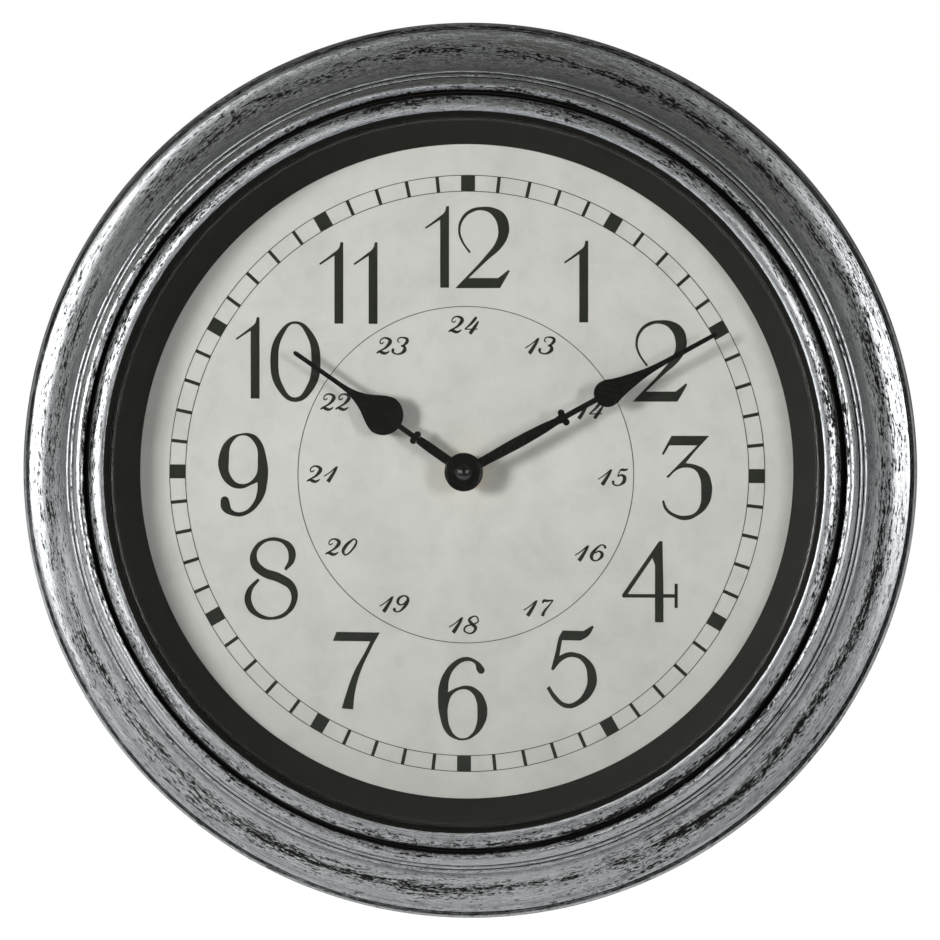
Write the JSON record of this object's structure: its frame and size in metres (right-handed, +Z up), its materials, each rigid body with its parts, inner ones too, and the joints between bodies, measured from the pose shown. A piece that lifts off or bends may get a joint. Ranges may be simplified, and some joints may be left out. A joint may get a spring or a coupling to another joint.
{
  "type": "wall clock",
  "caption": "Round battery wall clock: moulded cove frame, flat glass, printed dial, spade hands, quartz movement and keyhole hanger.",
  "frame": {"origin": "on the hand axis, half way between the wall plane and the front of the frame", "axes": "+Y towards the wall along the hand axis, the dial faces -Y, +Z up through the 12, +X to the right of the dial"},
  "size_m": [0.305, 0.0366, 0.305],
  "materials": {
    "frame": "black moulding dry-brushed with bright silver, semi-gloss",
    "lens": "clear flat mineral glass",
    "bezel": "satin black",
    "dial": "off-white printed sheet, faintly mottled",
    "back": "fine-textured black moulding",
    "screw": "zinc-plated steel",
    "hanger": "stamped zinc-plated steel",
    "case": "black moulded case",
    "brass": "turned brass",
    "rubber": "matte black rubber",
    "stator": "stamped motor steel",
    "bobbin": "natural moulded plastic",
    "winding": "enamelled copper wire",
    "board": "green circuit board",
    "crystal": "drawn can",
    "contact": "nickel-plated spring steel",
    "cell": "plain sleeve",
    "magnet": "sintered magnet on a steel arbor",
    "wheel": "natural acetal",
    "plate": "natural acetal",
    "knob": "black moulded knob",
    "hand": "satin black lacquer on stamped aluminium"
  },
  "bodies": {
    "case": {"frame_ring": "frame", "lens": "lens", "inner_bezel": "bezel", "dial_paper": "dial", "back_plate": "back", "plate_screws": "screw", "hanger_plate": "hanger", "hanger_screws": "screw", "movement_front_case": "case", "movement_back_case": "case", "middle_plate": "plate", "center_bush": "brass", "hex_nut": "brass", "nut_washer": "brass", "rubber_washer": "rubber", "stator": "stator", "coil_bobbin": "bobbin", "coil_winding": "winding", "circuit_board": "board", "quartz_crystal": "crystal", "battery_contact_pos": "contact", "battery_contact_neg": "contact", "battery": "cell"},
    "minute_hand": {"minute_hand": "hand", "minute_collet": "hand", "cap_nut": "hand", "minute_pipe": "brass"},
    "hour_hand": {"hour_hand": "hand", "hour_collet": "brass", "hour_wheel": "wheel"},
    "setting_knob": {"set_knob": "knob", "minute_wheel": "wheel"},
    "seconds_wheel": {"seconds_wheel": "wheel"},
    "rotor": {"rotor": "magnet"},
    "intermediate_wheel": {"intermediate_wheel": "wheel"},
    "third_wheel": {"third_wheel": "wheel"},
    "center_wheel": {"center_wheel": "wheel"}
  },
  "joints": [
    {"name": "minute_hand_turn", "type": "hinge", "parent": "case", "child": "minute_hand", "pos_m": [0, 0, 0], "axis": [0, 1, 0], "continuous": true},
    {"name": "hour_hand_turn", "type": "hinge", "parent": "case", "child": "hour_hand", "pos_m": [0, 0, 0], "axis": [0, 1, 0], "continuous": true},
    {"name": "setting_knob_turn", "type": "hinge", "parent": "case", "child": "setting_knob", "pos_m": [-0.00084, 0, 0.00956], "axis": [0, 1, 0], "continuous": true},
    {"name": "rotor_turn", "type": "hinge", "parent": "case", "child": "rotor", "pos_m": [-0.01145, 0, 0.00498], "axis": [0, 1, 0], "continuous": true},
    {"name": "intermediate_wheel_turn", "type": "hinge", "parent": "case", "child": "intermediate_wheel", "pos_m": [-0.00906, 0, -0.0016], "axis": [0, 1, 0], "continuous": true},
    {"name": "seconds_wheel_turn", "type": "hinge", "parent": "case", "child": "seconds_wheel", "pos_m": [0, 0, 0], "axis": [0, 1, 0], "continuous": true},
    {"name": "third_wheel_turn", "type": "hinge", "parent": "case", "child": "third_wheel", "pos_m": [0.00846, 0, 0.00308], "axis": [0, 1, 0], "continuous": true},
    {"name": "center_wheel_turn", "type": "hinge", "parent": "case", "child": "center_wheel", "pos_m": [0, 0, 0], "axis": [0, 1, 0], "continuous": true}
  ],
  "couplings": [
    {"joint": "hour_hand_turn", "follows": "minute_hand_turn", "ratio": 0.083333},
    {"joint": "setting_knob_turn", "follows": "minute_hand_turn", "ratio": -0.33333},
    {"joint": "intermediate_wheel_turn", "follows": "rotor_turn", "ratio": -0.16667},
    {"joint": "seconds_wheel_turn", "follows": "rotor_turn", "ratio": 0.033333},
    {"joint": "third_wheel_turn", "follows": "rotor_turn", "ratio": -0.0044444},
    {"joint": "center_wheel_turn", "follows": "rotor_turn", "ratio": 0.00055556}
  ]
}
